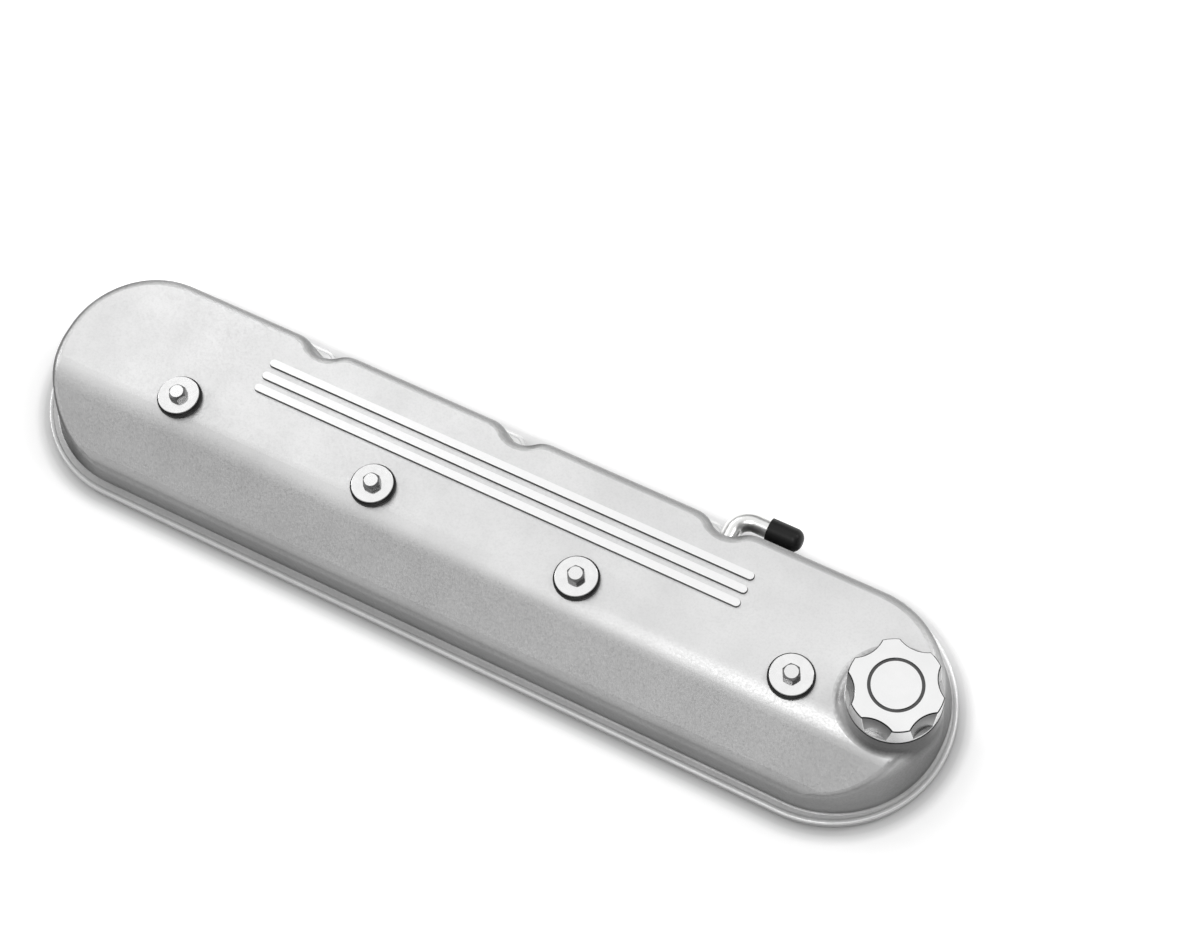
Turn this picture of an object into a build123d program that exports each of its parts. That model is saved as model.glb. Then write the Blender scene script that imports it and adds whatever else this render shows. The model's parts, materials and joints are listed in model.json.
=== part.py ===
from build123d import *
from math import cos, radians, tan
import os

os.makedirs("parts", exist_ok=True)

# All lengths are in millimetres, all angles in degrees.
# The origin is the middle of the bolt line on the sealing plane. +X runs along the cover to the
# filler end, +Y to the notched wall and the breather tube, +Z up.

# Bolt line: four bolts, a bore spacing apart
bore_spacing = 111.76
bolt_count = 4

# Outline of the flange, a long slot whose centre lies beside the bolt line, with a raised land
end_spacing = 378.0
flange_width = 120.4
outline_x = -5.0
outline_y = 9.4
flange_thickness = 4.3
flange_round = 0.9
land_margin = 2.0
land_rise = 0.7
land_draft = 45.0

# Walls and roof of the casting
wall_margin = 5.5
cover_height = 40.8
wall_draft = 10.0
back_corner = 3.3
filler_end = 1.3
wall_thickness = 4.0
roof_thickness = 4.0
rim_round = 5.0
foot_round = 1.0
inner_round = 2.0

# Front slope: the roof bends down at bend_y, and a steeper face leads it into the front wall
bend_y = -13.0
slope_angle = 36.5
bend_round = 24.0
front_y = -41.0
front_angle = 60.0
front_round = 16.0

# Notches of the back wall, a bore spacing apart, and those of the flange behind them
notch_count = 3
notch_shift = 0.5
notch_depth = 6.2
notch_round = 12.5
flange_notch_round = 9.0

# Filler boss, its bore and the seat of the seal ring
boss_margin = 7.0
boss_radius = 22.6
boss_rise = 9.0
boss_draft = 2.5
boss_edge = 0.5
boss_blend = 5.5
bore_radius = 16.0
seat_depth = 3.2

# Raised ribs on the roof, machined on top
rib_count = 3
rib_length = 268.0
rib_width = 4.6
rib_pitch = 7.5
rib_height = 1.3
rib_draft = 15.0
ribs_x = -3.0
ribs_y = 29.5

# Bolt columns inside the cover
column_radius = 12.0
column_foot = 8.0

# Bolts: hexagon head, shoulder and threaded tip
head_flats = 8.0
head_height = 4.1
head_top_radius = 3.3
head_bevel_angle = 50.0
shoulder_radius = 3.4
thread_radius = 3.0
thread_length = 12.5
tip_height = 0.5
tip_chamfer = 0.8
bolt_clearance = 0.2

# Washers, rubber grommets and steel sleeves on the bolts
washer_radius = 10.3
washer_thickness = 1.5
washer_edge = 0.25
grommet_radius = 11.3
grommet_lip = 2.7
grommet_edge = 0.6
grommet_stem_radius = 8.0
grommet_stem_length = 14.0
grommet_fit = 0.05
sleeve_radius = 5.0
sleeve_length = 20.0
sleeve_fit = 0.05

# Oil filler cap with its finger scallops and turned ring
cap_radius = 22.3
cap_height = 15.0
cap_edge = 0.5
cap_rim = 2.0
scallop_count = 6
first_scallop_angle = 30.0
scallop_radius = 15.0
scallop_floor = 18.95
scallop_draft = 6.5
ring_radius = 13.0
ring_width = 1.6
ring_depth = 0.8

# Threaded stem of the cap and its seal ring
stem_length = 13.0
stem_clearance = 0.08
stem_pilot = 1.5
stem_edge = 0.6
stem_thread_depth = 0.9
seal_neck_radius = 14.9
seal_section_radius = 1.15
seal_gap = 0.15

# Breather tube and its rubber cap
tube_radius = 4.75
tube_wall = 1.2
tube_height = 24.5
tube_bend = 9.0
tube_stand = 14.8
tube_reach = 30.2
tube_inlet = 3.0
tube_fit = 0.05
tube_cap_length = 17.8
tube_cap_wall = 1.1
tube_cap_grip = 14.8
tube_cap_edge = 0.5
tube_cap_clearance = 0.08
tube_end_gap = 0.3

# Oil baffle under the tube's inlet, its stand-offs and its screws
baffle_length = 66.0
baffle_width = 36.0
baffle_thickness = 1.2
baffle_height = 16.0
baffle_lip = 7.0
baffle_bend = 1.5
baffle_setback = 26.6
standoff_end_margin = 8.0
standoff_side_margin = 7.0
standoff_radius = 4.0
screw_radius = 2.0
screw_head_radius = 3.75
screw_head_height = 2.4
screw_head_round = 0.8
screw_socket_flats = 2.5
screw_socket_depth = 1.3
screw_length = 9.0
screw_clearance = 0.05
screw_hole_spare = 2.0

# Gasket in the groove of the flange
gasket_proud = 1.0
gasket_width = 3.4
gasket_round = 0.6
groove_depth = 3.0
groove_clearance = 0.05

# One overrun for all cuts
overrun = 5.0

# A face is part of the roof where at least this share of its normal points up
roof_share = 0.4

# Heights that follow
flange_bottom = gasket_proud
flange_top = flange_bottom + flange_thickness
land_top = flange_top + land_rise
roof_top = flange_bottom + cover_height
boss_top = roof_top + boss_rise
cap_top = boss_top + cap_height
washer_bottom = roof_top + grommet_lip
washer_top = washer_bottom + washer_thickness
baffle_top = baffle_height + baffle_thickness

# Outline sizes that follow
draft_slope = tan(radians(wall_draft))
flange_radius = flange_width / 2
wall_radius = flange_radius - wall_margin
wall_across = wall_thickness / cos(radians(wall_draft))
top_inset = (roof_top - land_top) * draft_slope
hollow_bottom = flange_bottom - overrun
hollow_inset = wall_across - (land_top - hollow_bottom) * draft_slope
inner_margin = wall_margin + wall_across - (land_top - flange_bottom) * draft_slope
groove_margin = inner_margin / 2

# Places that follow
bolt_places = list(GridLocations(bore_spacing, 0, bolt_count, 1))
notch_places = [
    outline_x + notch_shift + (number - (notch_count - 1) / 2) * bore_spacing
    for number in range(notch_count)
]
notch_centre_y = outline_y + wall_radius - top_inset - notch_depth + notch_round
notch_floor_y = notch_centre_y - notch_round + (roof_top - tube_height) * draft_slope
filler_x = outline_x + end_spacing / 2 + flange_radius - boss_margin - boss_radius
filler_place = Location((filler_x, outline_y))
filler_axis = Axis((filler_x, outline_y, 0), (0, 0, 1))
filler_section = Plane((filler_x, outline_y, 0), x_dir=(1, 0, 0), z_dir=(0, -1, 0))
stem_radius = bore_radius - stem_clearance
tube_x = notch_places[-1]
tube_run_y = notch_floor_y + tube_stand
tube_end_x = tube_x + tube_reach
baffle_place = Location((tube_x, notch_floor_y - baffle_setback))
standoff_spacing_x = baffle_length - 2 * standoff_end_margin
standoff_spacing_y = baffle_width - 2 * standoff_side_margin
standoffs = [
    baffle_place * spot for spot in GridLocations(standoff_spacing_x, standoff_spacing_y, 2, 2)
]


def notch_outline(scoop_y, scoop_radius, mouth_round):
    """Cuts the three notches, rounded at the bottom and at the mouth, into the sketch's back side."""
    with Locations([(x, scoop_y) for x in notch_places]):
        Circle(scoop_radius, mode=Mode.SUBTRACT)
    mouths = [
        corner
        for corner in vertices()
        if min(abs(corner.X - x) for x in notch_places) < 2 * notch_round
    ]
    fillet(mouths, mouth_round)


def wall_outline(inset):
    """Draws the walls' outline at the land, moved in by an inset, with tighter corners at the back."""
    half_width = wall_radius - inset
    with Locations((outline_x + filler_end / 2, outline_y)):
        Rectangle(end_spacing + filler_end + 2 * half_width, 2 * half_width)
    fillet(vertices().sort_by(Axis.Y)[-2:], half_width - back_corner)
    fillet(vertices().sort_by(Axis.Y)[:2], half_width)
    notch_outline(notch_centre_y, notch_round - top_inset + inset, notch_round + top_inset - inset)


def flange_outline(margin):
    """Gives the flange's outline with its notches, moved in by a margin."""
    with BuildSketch(mode=Mode.PRIVATE) as outline:
        with Locations((outline_x, outline_y)):
            SlotCenterToCenter(end_spacing, flange_width - 2 * margin)
        scoop_y = outline_y + flange_radius - notch_depth + flange_notch_round
        notch_outline(scoop_y, flange_notch_round + margin, flange_notch_round - margin)
    return outline.sketch


def roof_section(depth):
    """Gives the section under the roof's skin, seen along the cover, at a depth in the metal."""
    corner_z = roof_top - (bend_y - front_y) * tan(radians(slope_angle))
    foot_y = front_y - (corner_z + 2 * overrun) / tan(radians(front_angle))
    with BuildSketch(Plane.YZ, mode=Mode.PRIVATE) as section:
        with BuildLine():
            skin = FilletPolyline(
                (flange_width, roof_top),
                (bend_y, roof_top),
                (front_y, corner_z),
                (foot_y, -2 * overrun),
                radius=[bend_round, front_round],
            )
            Polyline(skin @ 1, (flange_width, -2 * overrun), skin @ 0)
        make_face()
        if depth:
            offset(amount=-depth)
    return section.sketch


def rim_edges():
    """Finds the edges between the roof's faces and the walls."""
    roof = [face for face in faces() if face.normal_at().Z > roof_share]
    roof_edges = ShapeList(edge for face in roof for edge in face.edges())
    walls = [face for face in faces() if abs(face.normal_at().Z) < roof_share]
    wall_edges = ShapeList(edge for face in walls for edge in face.edges())
    return [edge for edge in roof_edges if any(edge.is_same(other) for other in wall_edges)]


# Hollow of the cover: the room that the casting leaves free around its columns and stand-offs
with BuildPart() as hollow:
    with BuildSketch(Plane.XY.offset(hollow_bottom)):
        wall_outline(hollow_inset)
    extrude(amount=roof_top - hollow_bottom, taper=wall_draft)
    extrude(roof_section(roof_thickness), amount=end_spacing, both=True, mode=Mode.INTERSECT)
    fillet(rim_edges(), inner_round)
    with BuildSketch(Plane.XY.offset(column_foot)):
        with Locations(bolt_places):
            Circle(column_radius)
    extrude(amount=roof_top, mode=Mode.SUBTRACT)
    with BuildSketch(Plane.XY.offset(baffle_top)):
        with Locations(standoffs):
            Circle(standoff_radius)
    extrude(amount=roof_top, mode=Mode.SUBTRACT)

# Cast cover
with BuildPart() as cover_casting:
    # Drafted walls under the bent roof, with the rim rounded
    with BuildSketch(Plane.XY.offset(land_top)):
        wall_outline(0)
    extrude(amount=roof_top - land_top + overrun, taper=wall_draft)
    extrude(roof_section(0), amount=end_spacing, both=True, mode=Mode.INTERSECT)
    fillet(rim_edges(), rim_round)

    # Flange and the land on it, with a small round at the foot of the walls and along the edge
    with BuildSketch(Plane.XY.offset(flange_bottom)):
        add(flange_outline(0))
    extrude(amount=flange_thickness)
    with BuildSketch(Plane.XY.offset(flange_top)):
        add(flange_outline(land_margin))
    extrude(amount=land_rise, taper=land_draft)
    land = faces().filter_by(Axis.Z).sort_by(Axis.Z)[2]
    fillet(land.inner_wires()[0].edges(), foot_round)
    ledge = faces().filter_by(Axis.Z).sort_by(Axis.Z)[1]
    fillet(ledge.outer_wire().edges(), flange_round)

    # Filler boss, blended into the roof and the end wall
    with BuildSketch(filler_section):
        with BuildLine():
            Polyline(
                (0, land_top),
                (boss_radius + (boss_top - land_top) * tan(radians(boss_draft)), land_top),
                (boss_radius, boss_top - boss_edge),
                (boss_radius - boss_edge, boss_top),
                (0, boss_top),
                close=True,
            )
        make_face()
    revolve(axis=filler_axis)
    fillet(edges(Select.NEW), boss_blend)

    # Raised ribs
    with BuildSketch(Plane.XY.offset(roof_top)):
        with Locations((ribs_x, ribs_y)):
            with GridLocations(0, rib_pitch, 1, rib_count):
                SlotOverall(rib_length, rib_width)
    extrude(amount=rib_height, taper=rib_draft)

    # Inside of the cover
    add(hollow.part, mode=Mode.SUBTRACT)

    # Bolt bores
    with BuildSketch(Plane.XY.offset(roof_top)):
        with Locations(bolt_places):
            Circle(grommet_stem_radius)
    extrude(amount=-roof_top, mode=Mode.SUBTRACT)

    # Filler bore with the conical seat of its seal ring
    with BuildSketch(Plane.XY.offset(boss_top)):
        with Locations(filler_place):
            Circle(bore_radius)
    extrude(amount=-(boss_rise + roof_thickness + inner_round), mode=Mode.SUBTRACT)
    bore_mouth = edges().filter_by(GeomType.CIRCLE).group_by(Axis.Z)[-1].sort_by(SortBy.RADIUS)[0]
    chamfer(bore_mouth, seat_depth)

    # Hole of the breather tube
    with BuildSketch(Plane((tube_x, notch_floor_y, tube_height), z_dir=(0, -1, 0))):
        Circle(tube_radius)
    extrude(amount=wall_across + overrun, both=True, mode=Mode.SUBTRACT)

    # Screw holes of the baffle
    with BuildSketch(Plane.XY.offset(baffle_top)):
        with Locations(standoffs):
            Circle(screw_radius)
    extrude(amount=screw_length - baffle_thickness + screw_hole_spare, mode=Mode.SUBTRACT)

    # Groove of the gasket
    with BuildSketch(Plane.XY.offset(flange_bottom)):
        add(flange_outline(groove_margin - gasket_width / 2 - groove_clearance))
        add(flange_outline(groove_margin + gasket_width / 2 + groove_clearance), mode=Mode.SUBTRACT)
    extrude(amount=groove_depth, mode=Mode.SUBTRACT)
cover_casting.part.label = "cover_casting"
export_step(cover_casting.part, "parts/cover_casting.step")

# Gasket, standing proud of the flange with rounded lower edges
with BuildPart() as perimeter_gasket:
    with BuildSketch():
        add(flange_outline(groove_margin - gasket_width / 2))
        add(flange_outline(groove_margin + gasket_width / 2), mode=Mode.SUBTRACT)
    extrude(amount=gasket_proud + groove_depth)
    fillet(faces().sort_by(Axis.Z)[0].edges(), gasket_round)
perimeter_gasket.part.label = "perimeter_gasket"
export_step(perimeter_gasket.part, "parts/perimeter_gasket.step")

# Bolts, washers, grommets and sleeves
for number, place in enumerate(bolt_places, start=1):
    with BuildPart() as bolt:
        with BuildSketch(Plane.XY.offset(washer_top)):
            with Locations(place):
                RegularPolygon(head_flats / 2, 6, major_radius=False)
        extrude(amount=head_height)
        with BuildSketch(Plane.XY.offset(washer_top)):
            with Locations(place):
                Circle(head_top_radius + head_height / tan(radians(head_bevel_angle)))
        extrude(amount=head_height, taper=90 - head_bevel_angle, mode=Mode.INTERSECT)
        with BuildSketch(Plane.XY.offset(washer_top)):
            with Locations(place):
                Circle(shoulder_radius)
        extrude(amount=-(washer_top - tip_height - thread_length))
        with BuildSketch(Plane.XY.offset(tip_height)):
            with Locations(place):
                Circle(thread_radius)
        extrude(amount=thread_length)
        chamfer(faces().sort_by(Axis.Z)[0].edges(), tip_chamfer)
    bolt.part.label = f"bolt_{number}"
    export_step(bolt.part, f"parts/bolt_{number}.step")

    with BuildPart() as washer:
        with BuildSketch(Plane.XY.offset(washer_bottom)):
            with Locations(place):
                Circle(washer_radius)
                Circle(shoulder_radius + bolt_clearance, mode=Mode.SUBTRACT)
        extrude(amount=washer_thickness)
        chamfer(edges().filter_by(GeomType.CIRCLE).sort_by(SortBy.RADIUS)[-2:], washer_edge)
    washer.part.label = f"washer_{number}"
    export_step(washer.part, f"parts/washer_{number}.step")

    with BuildPart() as grommet:
        with BuildSketch(Plane.XY.offset(roof_top)):
            with Locations(place):
                Circle(grommet_radius)
        extrude(amount=grommet_lip)
        fillet(edges().filter_by(GeomType.CIRCLE), grommet_edge)
        with BuildSketch(Plane.XY.offset(roof_top)):
            with Locations(place):
                Circle(grommet_stem_radius - grommet_fit)
        extrude(amount=-grommet_stem_length)
        with BuildSketch(Plane.XY.offset(washer_bottom)):
            with Locations(place):
                Circle(sleeve_radius + sleeve_fit)
        extrude(amount=-(washer_bottom - land_top), mode=Mode.SUBTRACT)
    grommet.part.label = f"grommet_{number}"
    export_step(grommet.part, f"parts/grommet_{number}.step")

    with BuildPart() as sleeve:
        with BuildSketch(Plane.XY.offset(washer_bottom)):
            with Locations(place):
                Circle(sleeve_radius)
                Circle(shoulder_radius + bolt_clearance, mode=Mode.SUBTRACT)
        extrude(amount=-sleeve_length)
    sleeve.part.label = f"sleeve_{number}"
    export_step(sleeve.part, f"parts/sleeve_{number}.step")

# Filler cap
with BuildPart() as filler_cap:
    with BuildSketch(Plane.XY.offset(boss_top)):
        with Locations(filler_place):
            Circle(cap_radius)
    extrude(amount=cap_height)
    with BuildSketch(Plane.XY.offset(cap_top)):
        with Locations(filler_place):
            with PolarLocations(
                scallop_floor + scallop_radius,
                scallop_count,
                start_angle=first_scallop_angle,
            ):
                Circle(scallop_radius)
    extrude(amount=cap_rim - cap_height, taper=scallop_draft, mode=Mode.SUBTRACT)
    chamfer(faces().sort_by(Axis.Z)[-1].edges(), cap_edge)
    chamfer(faces().sort_by(Axis.Z)[0].edges(), cap_edge)

    # Turned ring in the top face
    with BuildSketch(Plane.XY.offset(cap_top)):
        with Locations(filler_place):
            Circle(ring_radius)
            Circle(ring_radius - ring_width, mode=Mode.SUBTRACT)
    extrude(amount=-ring_depth, mode=Mode.SUBTRACT)

    # Stem, with the neck of its seal ring at the top and a relief for the thread
    with BuildSketch(Plane.XY.offset(boss_top)):
        with Locations(filler_place):
            Circle(stem_radius)
    extrude(amount=-stem_length)
    chamfer(faces().sort_by(Axis.Z)[0].edges(), stem_edge)
    with BuildSketch(Plane.XY.offset(boss_top)):
        with Locations(filler_place):
            Circle(stem_radius + overrun)
            Circle(seal_neck_radius, mode=Mode.SUBTRACT)
    extrude(amount=-seat_depth, mode=Mode.SUBTRACT)
    with BuildSketch(Plane.XY.offset(boss_top - stem_length + stem_pilot)):
        with Locations(filler_place):
            Circle(stem_radius + overrun)
            Circle(stem_radius - stem_thread_depth, mode=Mode.SUBTRACT)
    extrude(amount=stem_length - seat_depth - 2 * stem_pilot, mode=Mode.SUBTRACT)
filler_cap.part.label = "filler_cap"
export_step(filler_cap.part, "parts/filler_cap.step")

# Seal ring of the filler cap
with BuildPart() as cap_seal_ring:
    with Locations((filler_x, outline_y, boss_top - seal_section_radius - seal_gap)):
        Torus(seal_neck_radius + seal_gap + seal_section_radius, seal_section_radius)
cap_seal_ring.part.label = "cap_seal_ring"
export_step(cap_seal_ring.part, "parts/cap_seal_ring.step")

# Breather tube, bent to run along the back wall
inlet_y = notch_floor_y - wall_across - tube_inlet
with BuildPart() as breather_tube:
    with BuildLine(Plane.XY.offset(tube_height)):
        route = FilletPolyline(
            (tube_x, inlet_y),
            (tube_x, tube_run_y),
            (tube_end_x, tube_run_y),
            radius=tube_bend,
        )
    with BuildSketch(Plane(route @ 0, z_dir=route % 0)):
        Circle(tube_radius - tube_fit)
        Circle(tube_radius - tube_wall, mode=Mode.SUBTRACT)
    sweep()
breather_tube.part.label = "breather_tube"
export_step(breather_tube.part, "parts/breather_tube.step")

# Rubber cap of the tube, with a domed end
tube_cap_bore = tube_radius + tube_cap_clearance
tube_cap_radius = tube_cap_bore + tube_cap_wall
tube_cap_mouth = tube_end_x + tube_end_gap - tube_cap_grip
with BuildPart() as tube_cap:
    with BuildSketch(Plane((tube_cap_mouth, tube_run_y, tube_height), z_dir=(1, 0, 0))):
        Circle(tube_cap_radius)
    extrude(amount=tube_cap_length)
    rims = edges().filter_by(GeomType.CIRCLE).sort_by(Axis.X)
    fillet(rims[0], tube_cap_edge)
    fillet(edges().filter_by(GeomType.CIRCLE).sort_by(Axis.X)[-1], tube_cap_radius - tube_cap_wall)
    with BuildSketch(Plane((tube_cap_mouth, tube_run_y, tube_height), z_dir=(1, 0, 0))):
        Circle(tube_cap_bore)
    extrude(amount=tube_cap_grip, mode=Mode.SUBTRACT)
tube_cap.part.label = "tube_cap"
export_step(tube_cap.part, "parts/tube_cap.step")

# Folded baffle, a strip turned up at both ends
with BuildPart() as baffle:
    with BuildSketch(Plane.XY.offset(baffle_height)):
        with Locations(baffle_place):
            Rectangle(baffle_length, baffle_width)
    extrude(amount=baffle_lip)
    fillet(faces().sort_by(Axis.Z)[0].edges().filter_by(Axis.Y), baffle_bend + baffle_thickness)
    offset(
        amount=-baffle_thickness,
        openings=[faces().sort_by(Axis.Z)[-1], *faces().filter_by(Axis.Y)],
    )
    with BuildSketch(Plane.XY.offset(baffle_height)):
        with Locations(standoffs):
            Circle(screw_radius)
    extrude(amount=baffle_thickness, mode=Mode.SUBTRACT)
baffle.part.label = "baffle"
export_step(baffle.part, "parts/baffle.step")

# Baffle screws, heads down
for number, place in enumerate(standoffs, start=1):
    with BuildPart() as screw:
        with BuildSketch(Plane.XY.offset(baffle_height)):
            with Locations(place):
                Circle(screw_head_radius)
        extrude(amount=-screw_head_height)
        fillet(edges().filter_by(GeomType.CIRCLE).sort_by(Axis.Z)[0], screw_head_round)
        with BuildSketch(Plane.XY.offset(baffle_height)):
            with Locations(place):
                Circle(screw_radius - screw_clearance)
        extrude(amount=screw_length)
        with BuildSketch(Plane.XY.offset(baffle_height - screw_head_height)):
            with Locations(place):
                RegularPolygon(screw_socket_flats / 2, 6, major_radius=False)
        extrude(amount=screw_socket_depth, mode=Mode.SUBTRACT)
    screw.part.label = f"baffle_screw_{number}"
    export_step(screw.part, f"parts/baffle_screw_{number}.step")
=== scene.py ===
"""Looks, light and camera of an engine valve cover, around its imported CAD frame."""

import json
from math import cos, radians, sin

import bpy
from mathutils import Matrix, Vector


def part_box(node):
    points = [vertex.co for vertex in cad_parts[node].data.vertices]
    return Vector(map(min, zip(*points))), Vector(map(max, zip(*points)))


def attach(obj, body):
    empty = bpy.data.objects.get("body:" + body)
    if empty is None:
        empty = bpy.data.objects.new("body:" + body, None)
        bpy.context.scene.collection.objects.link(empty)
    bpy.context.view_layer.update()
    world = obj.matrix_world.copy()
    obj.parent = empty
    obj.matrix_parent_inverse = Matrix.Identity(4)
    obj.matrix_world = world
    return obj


MM = 0.001

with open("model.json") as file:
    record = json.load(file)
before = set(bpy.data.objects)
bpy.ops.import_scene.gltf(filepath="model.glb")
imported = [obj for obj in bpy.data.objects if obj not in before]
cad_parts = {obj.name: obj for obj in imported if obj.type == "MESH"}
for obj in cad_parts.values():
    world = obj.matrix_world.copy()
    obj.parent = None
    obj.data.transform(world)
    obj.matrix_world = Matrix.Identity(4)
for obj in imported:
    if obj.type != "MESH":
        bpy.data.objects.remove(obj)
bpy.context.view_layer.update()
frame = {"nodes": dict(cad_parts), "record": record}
scene = bpy.context.scene


def box_of(node):
    """A node's lowest and highest corners, in millimetres."""
    return [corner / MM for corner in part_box(node)]


# Flange and filler, from the solids' boxes. The boss is the cover's highest place
COVER_LOW, COVER_HIGH = box_of("cover_casting")
CAP_LOW, CAP_HIGH = box_of("filler_cap")
OUTLINE = (COVER_LOW + COVER_HIGH) / 2
FLANGE_RADIUS = (COVER_HIGH.y - COVER_LOW.y) / 2
END_SPACING = COVER_HIGH.x - COVER_LOW.x - 2 * FLANGE_RADIUS
FILLER = (CAP_LOW + CAP_HIGH) / 2
CAP_RADIUS = (CAP_HIGH.x - CAP_LOW.x) / 2

# Heights in millimetres
FLANGE_TOP = 5.3
LAND_TOP = 6.0
TIP_TOP = 13.0
ROOF_TOP = 41.8
RIB_TOP = ROOF_TOP + 1.3
BOLT_HEAD_TOP = box_of("bolt_1")[1].z
BOSS_TOP = COVER_HIGH.z
STEP_TOP = BOSS_TOP + 2.5
SCALLOP_FOOT = BOSS_TOP + 3.0
CAP_TOP = CAP_HIGH.z
SCALLOP_HEAD = CAP_TOP - 2.0

# Widths and depths in millimetres
BOSS_REACH = 33.0
BOSS_BEVEL = 0.6
CAP_EDGE = 0.55
SCALLOP_MARGIN = 0.15
RING_RADIUS = 13.0
RING_DEPTH = 1.5

# How far a point may lie from a face and still count as on it
SPARE = 0.05
RIB_SPARE = 0.06
CAP_SPARE = 0.03

# Thread on the cap's stem: two starts of one ridge, with the lead of the cap's motion
THREAD_LEAD = 4.0
THREAD_STARTS = 2
THREAD_ROOT = 14.9
THREAD_CREST = 15.85
THREAD_FOOT_WIDTH = 1.5
THREAD_CREST_WIDTH = 0.5
THREAD_BOTTOM = CAP_LOW.z + 2.6
THREAD_TURNS = 1.1
THREAD_STEPS = 110

# Share of its full size that the ridge has at its very ends, and how many times faster than the
# thread's own length it grows from there
THREAD_END = 0.02
THREAD_GROWTH = 6

# A wave texture repeats every pi / 10 divided by its scale: here every millimetre
TIP_THREAD_SCALE = 314.0

# The photograph's camera: lens and sensor in millimetres, the picture's axes, and place in metres
LENS = 67.16
SENSOR_WIDTH = 36
CAMERA_RIGHT = Vector((0.88554601, 0.45937298, -0.06917174))
CAMERA_DOWN = Vector((0.39006034, -0.81613088, -0.42636055))
CAMERA_AHEAD = Vector((-0.25231171, 0.35058073, -0.90190463))
CAMERA_PLACE = Vector((0.31112, -0.32114, 1.01868))

# Sky: its grey, and the way to the middle of a soft white panel
SKY_GREY = 0.16
PANEL_WAY = Vector((-0.28, 0.305, 0.90))

# Lamps on a dome: azimuth and angle from overhead in degrees, and watts. Sizes are in metres
LAMPS = (
    (300, 22, 5.7),
    (180, 70, 5.5),
    (45, 45, 4.2),
    (135, 45, 1.6),
    (240, 22, 0.6),
    (225, 45, 0.3),
    (270, 45, 0.2),
)
DOME_RADIUS = 1.5
LAMP_SIZE = 0.55

# Half the floor's side, in metres
FLOOR_REACH = 6.0


def add_camera():
    """Looks at the cover from the photograph's angle."""
    data = bpy.data.cameras.new("camera")
    data.lens = LENS
    data.sensor_width = SENSOR_WIDTH
    camera = bpy.data.objects.new("camera", data)
    scene.collection.objects.link(camera)
    placed = Matrix((CAMERA_RIGHT, -CAMERA_DOWN, -CAMERA_AHEAD)).transposed().to_4x4()
    placed.translation = CAMERA_PLACE
    camera.matrix_world = placed
    scene.camera = camera


add_camera()


def grey(level):
    return (level, level, level)


class Nodes:
    """A node tree with short ways to add and join nodes. Lengths in its sockets are in metres."""

    def __init__(self, tree):
        self.tree = tree

    def add(self, kind, **settings):
        node = self.tree.nodes.new(kind)
        for key, value in settings.items():
            if key in node.inputs:
                node.inputs[key].default_value = value
            else:
                setattr(node, key, value)
        return node

    def link(self, out, into):
        self.tree.links.new(out, into)

    def math(self, operation, first, second=0.0):
        node = self.add("ShaderNodeMath", operation=operation)
        for slot, value in enumerate((first, second)):
            if isinstance(value, (int, float)):
                node.inputs[slot].default_value = value
            else:
                self.link(value, node.inputs[slot])
        return node.outputs[0]

    def plus(self, first, second):
        return self.math("ADD", first, second)

    def minus(self, first, second):
        return self.math("SUBTRACT", first, second)

    def both(self, first, second):
        return self.math("MULTIPLY", first, second)

    def either(self, first, second):
        return self.math("MAXIMUM", first, second)

    def absolute(self, value):
        return self.math("ABSOLUTE", value)

    def over(self, value, limit):
        """1 where a length is over a limit in millimetres."""
        return self.math("GREATER_THAN", value, limit * MM)

    def under(self, value, limit):
        """1 where a length is under a limit in millimetres."""
        return self.math("LESS_THAN", value, limit * MM)

    def ramp(self, value, low, high, from_low=0.0, from_high=1.0, smooth=False):
        """Low up to from_low, high from from_high on, and a run between them."""
        node = self.add("ShaderNodeMapRange")
        if smooth:
            node.interpolation_type = "SMOOTHSTEP"
        self.link(value, node.inputs["Value"])
        node.inputs["From Min"].default_value = from_low
        node.inputs["From Max"].default_value = from_high
        node.inputs["To Min"].default_value = low
        node.inputs["To Max"].default_value = high
        return node.outputs["Result"]

    def fade(self, value, none, full):
        """0 at none, 1 at full, whichever of them is the larger number."""
        if none < full:
            return self.ramp(value, 0.0, 1.0, none, full)
        return self.ramp(value, 1.0, 0.0, full, none)

    def split(self, vector):
        node = self.add("ShaderNodeSeparateXYZ")
        self.link(vector, node.inputs[0])
        return node.outputs

    def length(self, first, second):
        squares = self.plus(self.math("POWER", first, 2.0), self.math("POWER", second, 2.0))
        return self.math("SQRT", squares)

    def offset(self, place, centre):
        """Way along X and along Y from a centre given in millimetres."""
        parts = self.split(place)
        return [self.minus(parts[axis], at * MM) for axis, at in zip("XY", centre)]

    def away_from(self, place, centre):
        """Distance from an upright axis."""
        return self.length(*self.offset(place, centre))

    def beyond_flange(self, place):
        """Distance outside the flange's outline, less than zero inside it."""
        across, along = self.offset(place, OUTLINE)
        across = self.either(self.minus(self.absolute(across), END_SPACING / 2 * MM), 0.0)
        return self.minus(self.length(across, along), FLANGE_RADIUS * MM)


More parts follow.
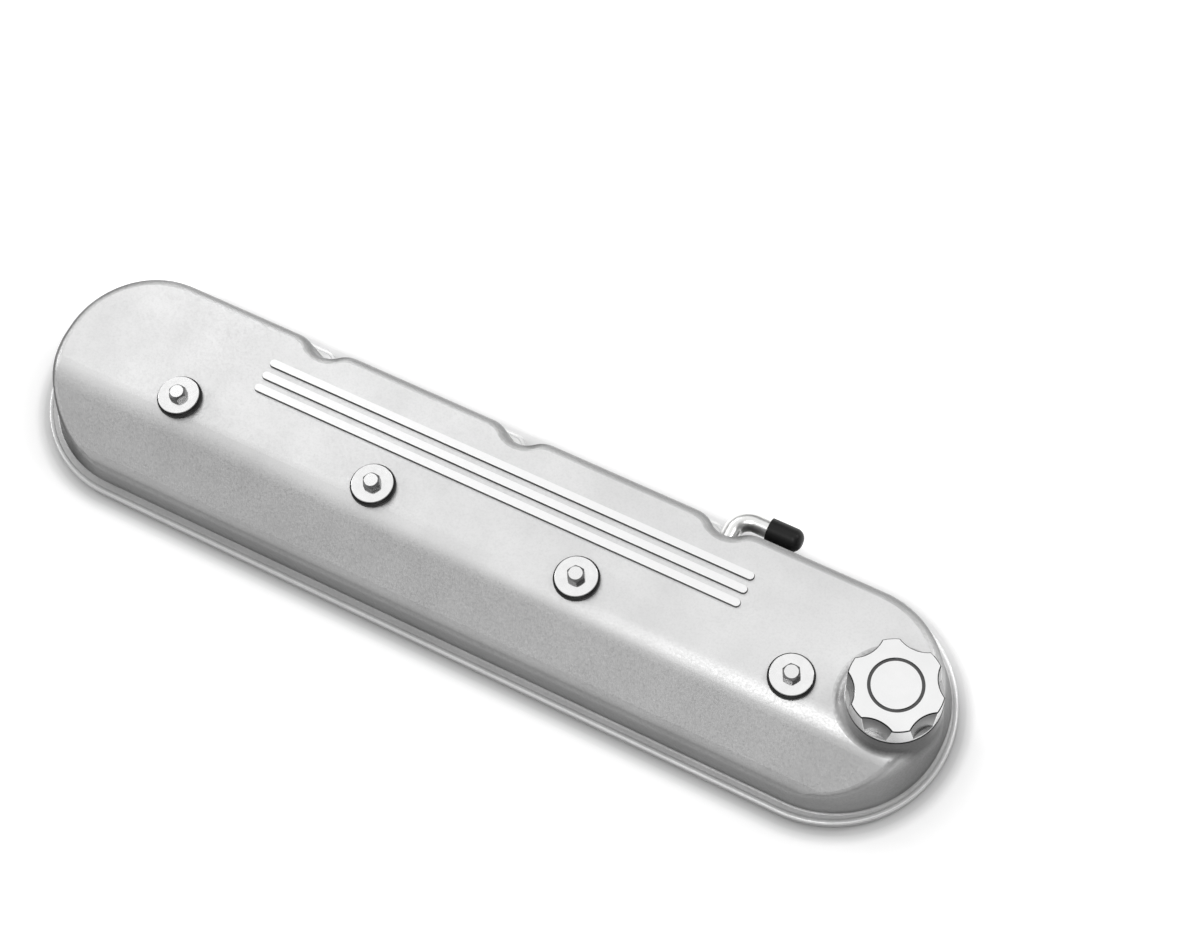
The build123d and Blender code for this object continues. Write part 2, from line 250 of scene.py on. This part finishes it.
class Look(Nodes):
    """The node tree of a material."""

    def __init__(self, name):
        self.material = bpy.data.materials.new(name)
        self.material.use_nodes = True
        super().__init__(self.material.node_tree)
        self.shader = self.tree.nodes["Principled BSDF"]

    def place(self):
        """The point on the surface, in the part's axes."""
        return self.add("ShaderNodeTexCoord").outputs["Object"]

    def normal(self):
        """The surface's own direction, in the part's axes."""
        return self.split(self.add("ShaderNodeTexCoord").outputs["Normal"])

    def stretch(self, vector, scale, centre=(0, 0, 0)):
        node = self.add("ShaderNodeMapping", vector_type="POINT")
        node.inputs["Scale"].default_value = scale
        node.inputs["Location"].default_value = [-c * s for c, s in zip(centre, scale)]
        self.link(vector, node.inputs["Vector"])
        return node.outputs[0]

    def noise(self, vector, scale, detail=3.0, roughness=0.5):
        node = self.add("ShaderNodeTexNoise", Scale=scale, Detail=detail, Roughness=roughness)
        self.link(vector, node.inputs["Vector"])
        return node.outputs["Fac"]

    def mix(self, share, first, second):
        node = self.add("ShaderNodeMix", data_type="RGBA")
        self.link(share, node.inputs["Factor"])
        for slot, value in (("A", first), ("B", second)):
            into = [s for s in node.inputs if s.name == slot and s.type == "RGBA"][0]
            if isinstance(value, tuple):
                into.default_value = (*value, 1.0)
            else:
                self.link(value, into)
        return [s for s in node.outputs if s.type == "RGBA"][0]

    def mottle(self, pattern, dark, light):
        """Clouds of two colors."""
        return self.mix(self.fade(pattern, none=0.3, full=0.7), dark, light)

    def tint(self, color, strength):
        """The color times a strength."""
        node = self.add("ShaderNodeVectorMath", operation="SCALE")
        self.link(color, node.inputs["Vector"])
        self.link(strength, node.inputs["Scale"])
        return node.outputs["Vector"]

    def bump(self, height, strength, depth, below=None):
        """Relief whose depth is given in millimetres."""
        node = self.add("ShaderNodeBump", Strength=strength, Distance=depth * MM)
        self.link(height, node.inputs["Height"])
        if below is not None:
            self.link(below, node.inputs["Normal"])
        return node.outputs["Normal"]

    def finish(self, color, roughness, relief=None, metallic=1.0):
        for slot, value in (("Base Color", color), ("Roughness", roughness), ("Normal", relief)):
            if isinstance(value, float):
                self.shader.inputs[slot].default_value = value
            elif value is not None:
                self.link(value, self.shader.inputs[slot])
        self.shader.inputs["Metallic"].default_value = metallic
        return self.material


class CastAluminium(Look):
    """Satin casting with fine grain and faint mottling, with painted shade on its walls, boss,
    ledges and rib sides and painted highlights along its ledges.
    """

    def __init__(self):
        super().__init__("cast_aluminium")
        self.at = self.place()
        self.z = self.split(self.at)["Z"]
        self.facing = self.normal()
        self.level = self.absolute(self.facing["Z"])
        self.around = self.away_from(self.at, FILLER)
        self.cloud = self.noise(self.at, scale=28.0, roughness=0.55)
        self.cap_shade = self.boss_shade()

    def boss_shade(self):
        """Mask of the painted shade on the boss under its cap: 1 where it is darkest, towards the
        front and the cover's end.
        """
        across, along = self.offset(self.at, FILLER)
        turned = self.math("DIVIDE", self.minus(self.both(across, 0.6), along), self.around)
        side = self.math("POWER", self.fade(turned, none=-0.05, full=1.0), 0.5)
        side = self.both(side, self.fade(self.z, none=24.0 * MM, full=34.0 * MM))
        return self.both(side, self.fade(self.around, none=26.4 * MM, full=23.6 * MM))

    def walls(self, color):
        """Darkens the walls with painted shade, by height, by the rim's curve and towards the
        ends.
        """
        back = self.fade(self.facing["Y"], none=0.02, full=0.22)
        ends = self.fade(self.absolute(self.facing["X"]), none=0.06, full=0.50)
        front = self.fade(self.level, none=0.80, full=0.60)
        steep = self.either(self.either(back, ends), front)
        beside_boss = self.fade(self.around, none=24.0 * MM, full=27.0 * MM)
        under_roof = self.fade(self.z, none=41.5 * MM, full=40.0 * MM)
        steep = self.both(steep, self.either(beside_boss, under_roof))
        high = self.fade(self.z, none=(LAND_TOP + 0.2) * MM, full=(LAND_TOP + 0.6) * MM)

        height = self.plus(self.z, self.both(self.minus(self.cloud, 0.5), 4.0 * MM))
        # Painted shade: the walls keep about 0.4 of the colour, more along the rim's curve
        share = self.ramp(height, 0.44, 0.37, from_low=9.0 * MM, from_high=14.0 * MM)
        rim = self.plus(
            self.ramp(self.facing["Y"], 0.16, 0.52, from_low=0.0, from_high=0.30),
            self.ramp(self.facing["Y"], 0.0, -0.44, from_low=0.35, from_high=0.60),
        )
        at_rim = self.fade(height, none=28.0 * MM, full=37.0 * MM)
        share = self.plus(share, self.both(rim, at_rim))
        # Painted shade on the left end and towards the filler end
        left = self.ramp(self.facing["X"], 0.32, 1.0, from_low=-0.40, from_high=-0.10)
        to_filler = self.plus(self.facing["X"], self.both(self.facing["Y"], 0.5))
        right = self.ramp(to_filler, 1.0, 0.70, from_low=0.40, from_high=0.98)
        share = self.both(self.both(share, left), right)
        return self.mix(self.both(steep, high), color, self.tint(color, share))

    def boss(self, color):
        """Darkens the boss's side with painted shade under the cap, and its bevel the most."""
        upright = self.both(self.cap_shade, self.fade(self.level, none=0.985, full=0.80))
        color = self.mix(upright, color, grey(0.17))
        bevel = self.both(upright, self.over(self.z, BOSS_TOP - BOSS_BEVEL))
        return self.mix(bevel, color, grey(0.05))

    def flange(self, color):
        """Painted shade on ledges and flange side, with painted highlights at the walls' foot and
        edge.
        """
        rear = self.fade(self.split(self.at)["Y"], none=35.0 * MM, full=55.0 * MM)
        inside = self.beyond_flange(self.at)
        edge = self.ramp(inside, 0.60, 0.98, from_low=-1.6 * MM, from_high=-0.8 * MM)
        foot = self.ramp(
            self.z, 0.0, 0.12, from_low=(LAND_TOP + 0.02) * MM, from_high=(LAND_TOP + 0.2) * MM
        )
        # Painted highlights at the edge and at the walls' foot, and painted light towards the
        # rear
        share = self.both(self.plus(edge, foot), self.plus(1.0, self.both(rear, 0.75)))
        # Painted shade on the left end
        left = self.ramp(self.facing["X"], 0.6, 1.0, from_low=-0.6, from_high=-0.1)
        ledge = self.tint(color, self.both(share, left))
        color = self.mix(self.under(self.z, LAND_TOP + 0.3), color, ledge)
        # Painted shade on the flange's side, lighter towards the rear
        side = self.both(
            self.under(self.z, FLANGE_TOP), self.fade(self.level, none=0.5, full=0.2)
        )
        return self.mix(side, color, self.mix(rear, grey(0.58), grey(0.90)))

    def ribs(self, color):
        """Machined tops, and painted shade on the sides."""
        off_boss = self.over(self.around, BOSS_REACH)
        side = self.both(
            self.over(self.z, ROOF_TOP + SPARE), self.under(self.z, RIB_TOP - SPARE)
        )
        side = self.both(side, self.fade(self.level, none=0.8, full=0.5))
        top = self.both(
            self.over(self.z, RIB_TOP - RIB_SPARE), self.under(self.z, RIB_TOP + RIB_SPARE)
        )
        color = self.mix(self.both(side, off_boss), color, grey(0.16))
        return self.mix(self.both(top, off_boss), color, grey(0.90))

    def build(self):
        grain = self.noise(self.at, scale=900.0, detail=4.0, roughness=0.6)
        fine = self.noise(self.at, scale=2600.0, detail=2.0)
        color = self.mottle(self.cloud, grey(0.70), grey(0.78))
        speck = self.ramp(grain, 0.0, 0.25, from_low=0.45, from_high=0.75)
        color = self.mix(speck, color, grey(0.62))
        color = self.ribs(self.flange(self.boss(self.walls(color))))
        rough = self.ramp(grain, 0.40, 0.56, from_low=0.3, from_high=0.7)
        rough = self.plus(rough, self.both(self.cap_shade, 0.3))
        relief = self.bump(grain, strength=0.11, depth=0.12)
        relief = self.bump(fine, strength=0.06, depth=0.05, below=relief)
        return self.finish(color, rough, relief)


def turned_aluminium():
    """Turned billet, with the tool's rings round the cap's axis and painted shade in its groove,
    scallops, step and edges.
    """
    n = Look("turned_aluminium")
    place = n.place()
    z = n.split(place)["Z"]
    level = n.absolute(n.normal()["Z"])
    radius = n.away_from(place, FILLER)
    color = n.mottle(n.noise(place, scale=60.0), grey(0.86), grey(0.91))

    # Painted shade: scallops darker towards their heads, and a dark step, top edge and groove
    below_top = n.under(z, CAP_TOP - CAP_SPARE)
    scallop = n.both(
        n.under(radius, CAP_RADIUS - SCALLOP_MARGIN), n.fade(level, none=0.6, full=0.2)
    )
    share = n.ramp(z, 0.38, 0.13, from_low=SCALLOP_FOOT * MM, from_high=SCALLOP_HEAD * MM)
    color = n.mix(n.both(below_top, scallop), color, n.tint(color, share))
    step = n.both(n.under(z, STEP_TOP), n.fade(level, none=0.7, full=0.95))
    color = n.mix(step, color, grey(0.50))
    edge = n.both(below_top, n.over(z, CAP_TOP - CAP_EDGE))
    color = n.mix(n.both(edge, n.fade(level, none=0.95, full=0.80)), color, grey(0.05))
    groove = n.both(n.under(radius, RING_RADIUS + SPARE), n.over(z, CAP_TOP - RING_DEPTH))
    color = n.mix(n.both(below_top, groove), color, grey(0.10))

    rings = n.add(
        "ShaderNodeTexWave",
        wave_type="RINGS",
        rings_direction="SPHERICAL",
        Scale=900.0,
        Distortion=0.4,
        Detail=1.0,
    )
    across = n.stretch(place, (1, 1, 0), FILLER * MM)
    n.link(across, rings.inputs["Vector"])
    rough = n.ramp(n.noise(place, scale=400.0), 0.20, 0.30)
    return n.finish(color, rough, n.bump(rings.outputs["Fac"], strength=0.05, depth=0.03))


def polished_washer():
    """Washer that is nearly a mirror."""
    n = Look("polished_washer")
    place = n.place()
    color = n.mottle(n.noise(place, scale=300.0), grey(0.84), grey(0.90))
    clouds = n.noise(place, scale=300.0, detail=2.0)
    rough = n.ramp(clouds, 0.12, 0.15)
    return n.finish(color, rough, n.bump(clouds, strength=0.004, depth=0.03))


def plated_steel():
    """Plated steel, with the heads' flats darker than their faced tops, and threaded tips."""
    n = Look("plated_steel")
    place = n.place()
    z = n.split(place)["Z"]
    flats = n.mottle(n.noise(place, scale=500.0), grey(0.13), grey(0.19))
    color = n.mix(n.over(z, BOLT_HEAD_TOP - SPARE), flats, grey(0.82))
    rough = n.ramp(n.noise(place, scale=900.0, detail=2.0), 0.22, 0.34)
    relief = n.bump(n.noise(place, scale=1500.0, detail=2.0), strength=0.03, depth=0.04)
    turns = n.add(
        "ShaderNodeTexWave", wave_type="BANDS", bands_direction="Z", Scale=TIP_THREAD_SCALE
    )
    n.link(place, turns.inputs["Vector"])
    thread = n.both(turns.outputs["Fac"], n.under(z, TIP_TOP))
    relief = n.bump(thread, strength=0.6, depth=0.4, below=relief)
    return n.finish(color, rough, relief)


def plated_tube():
    """Smooth plated steel, a little yellow."""
    n = Look("plated_tube")
    place = n.place()
    color = n.mottle(n.noise(place, scale=150.0), (0.80, 0.80, 0.79), (0.86, 0.86, 0.85))
    clouds = n.noise(place, scale=200.0, detail=2.0)
    rough = n.ramp(clouds, 0.27, 0.33)
    return n.finish(color, rough, n.bump(clouds, strength=0.005, depth=0.04))


def sheet_steel():
    """Rolled sheet, with its grain along the cover."""
    n = Look("sheet_steel")
    grain = n.noise(n.stretch(n.place(), (1, 12, 12)), scale=120.0)
    color = n.mottle(grain, (0.50, 0.50, 0.49), (0.62, 0.62, 0.61))
    rough = n.ramp(grain, 0.28, 0.42)
    return n.finish(color, rough, n.bump(grain, strength=0.06, depth=0.04))


def rubber(name, dark, light, low_rough, high_rough):
    """Matt black rubber."""
    n = Look(name)
    place = n.place()
    color = n.mix(n.noise(place, scale=220.0, detail=4.0), grey(dark), grey(light))
    rough = n.ramp(n.noise(place, scale=1500.0), low_rough, high_rough)
    relief = n.bump(n.noise(place, scale=2500.0), strength=0.12, depth=0.05)
    n.shader.inputs["Specular IOR Level"].default_value = 0.28
    return n.finish(color, rough, relief, metallic=0.0)


SLOTS = {
    "cast_aluminium": CastAluminium().build(),
    "turned_aluminium": turned_aluminium(),
    "polished_washer": polished_washer(),
    "plated_steel": plated_steel(),
    "plated_tube": plated_tube(),
    "sheet_steel": sheet_steel(),
    "soft_rubber": rubber("soft_rubber", 0.004, 0.010, 0.38, 0.5),
    "seal_rubber": rubber("seal_rubber", 0.014, 0.030, 0.35, 0.5),
}
for part in frame["record"]["subparts"]:
    node = frame["nodes"][part["node"]]
    node.data.materials.clear()
    node.data.materials.append(SLOTS[part["material_slot"]])


def add_thread(start):
    """Adds one ridge that winds up round the cap's stem, and runs out at both ends."""
    foot, crest = THREAD_FOOT_WIDTH / 2, THREAD_CREST_WIDTH / 2
    section = (
        (THREAD_ROOT, -foot),
        (THREAD_CREST, -crest),
        (THREAD_CREST, crest),
        (THREAD_ROOT, foot),
    )
    corners = len(section)
    points, faces = [], []
    for step in range(THREAD_STEPS + 1):
        share = step / THREAD_STEPS
        turned = radians(360 * (share * THREAD_TURNS + start / THREAD_STARTS))
        full = min(1.0, THREAD_GROWTH * min(share, 1 - share) + THREAD_END)
        rise = THREAD_BOTTOM + share * THREAD_TURNS * THREAD_LEAD
        for radius, height in section:
            out = THREAD_ROOT + (radius - THREAD_ROOT) * full
            x, y = FILLER.x + out * cos(turned), FILLER.y + out * sin(turned)
            points.append([value * MM for value in (x, y, rise + height * full)])
        if step:
            first, second = corners * (step - 1), corners * step
            for side in range(corners):
                after = (side + 1) % corners
                faces.append((first + side, second + side, second + after, first + after))
    last = corners * THREAD_STEPS
    faces += [tuple(range(corners)), tuple(last + side for side in reversed(range(corners)))]
    mesh = bpy.data.meshes.new(f"cap_thread_{start + 1}")
    mesh.from_pydata(points, [], faces)
    mesh.materials.append(SLOTS["turned_aluminium"])
    ridge = bpy.data.objects.new(mesh.name, mesh)
    scene.collection.objects.link(ridge)
    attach(ridge, "filler_cap")


for start in range(THREAD_STARTS):
    add_thread(start)


def floor_look():
    """Pale floor that is white to the camera, apart from the cover's soft shadow, partly cast and
    partly painted.
    """
    n = Look("floor")
    place = n.place()
    beyond = n.beyond_flange(place)
    tone = n.mix(n.noise(place, scale=3.0), grey(0.745), grey(0.765))
    # Painted contact shadow: the floor's colour darkens within 4.5 mm of the flange's outline
    color = n.mix(n.fade(beyond, none=4.5 * MM, full=0.0), tone, grey(0.56))
    n.finish(color, 0.9, metallic=0.0)
    n.shader.inputs["Specular IOR Level"].default_value = 0.0

    path = n.add("ShaderNodeLightPath")
    seen = n.either(path.outputs["Is Camera Ray"], path.outputs["Is Glossy Ray"])
    seen = n.either(seen, path.outputs["Is Transmission Ray"])
    # The glow is weakest next to the flange and stronger away from it and behind the cover:
    # painted light that narrows the cast shadow and lifts it at the back
    near = n.ramp(beyond, 0.0, 0.33, from_low=3.5 * MM, from_high=9.0 * MM)
    wider = n.ramp(beyond, 0.0, 0.10, from_low=9.0 * MM, from_high=20.0 * MM)
    far = n.ramp(beyond, 0.0, 0.57, from_low=50.0 * MM, from_high=900.0 * MM)
    rear = n.ramp(n.split(place)["Y"], 0.0, 0.22, from_low=20.0 * MM, from_high=60.0 * MM)
    white = n.plus(n.plus(n.plus(near, wider), far), rear)
    glow = n.add("ShaderNodeEmission")
    glow.inputs["Color"].default_value = (1, 1, 1, 1)
    n.link(n.both(seen, white), glow.inputs["Strength"])
    total = n.add("ShaderNodeAddShader")
    n.link(n.shader.outputs[0], total.inputs[0])
    n.link(glow.outputs[0], total.inputs[1])
    n.link(total.outputs[0], n.tree.nodes["Material Output"].inputs["Surface"])
    return n.material


def add_floor():
    """Adds the floor at the height of the gasket's lower face."""
    mesh = bpy.data.meshes.new("floor")
    corners = [(-1, -1), (1, -1), (1, 1), (-1, 1)]
    points = [(x * FLOOR_REACH, y * FLOOR_REACH, 0) for x, y in corners]
    mesh.from_pydata(points, [], [(0, 1, 2, 3)])
    mesh.materials.append(floor_look())
    floor = bpy.data.objects.new("floor", mesh)
    scene.collection.objects.link(floor)


add_floor()


def add_world():
    """Sets a grey sky with a soft white panel overhead and a white band along the horizon."""
    world = bpy.data.worlds.new("studio")
    scene.world = world
    world.use_nodes = True
    n = Nodes(world.node_tree)
    way = n.add("ShaderNodeTexCoord").outputs["Generated"]
    to_panel = n.add("ShaderNodeVectorMath", operation="DOT_PRODUCT")
    n.link(way, to_panel.inputs[0])
    to_panel.inputs[1].default_value = PANEL_WAY.normalized()
    panel = n.ramp(
        to_panel.outputs["Value"], SKY_GREY, 1.0, from_low=0.83, from_high=0.93, smooth=True
    )
    horizon = n.ramp(
        n.split(way)["Z"], SKY_GREY, 1.0, from_low=0.45, from_high=0.04, smooth=True
    )
    background = n.tree.nodes["Background"]
    background.inputs["Color"].default_value = (1, 1, 1, 1)
    n.link(n.either(panel, horizon), background.inputs["Strength"])


def add_lamp(azimuth, tilt, power):
    """Adds a round lamp on the dome that shines on its middle."""
    data = bpy.data.lights.new(f"lamp_{azimuth}_{tilt}", "AREA")
    data.shape = "DISK"
    data.size = LAMP_SIZE
    data.energy = power
    lamp = bpy.data.objects.new(data.name, data)
    scene.collection.objects.link(lamp)
    turned = Matrix.Rotation(radians(azimuth), 4, "Z") @ Matrix.Rotation(radians(tilt), 4, "Y")
    lamp.matrix_world = turned @ Matrix.Translation((0, 0, DOME_RADIUS))


add_world()
for azimuth, tilt, power in LAMPS:
    add_lamp(azimuth, tilt, power)

scene.view_settings.view_transform = "Standard"
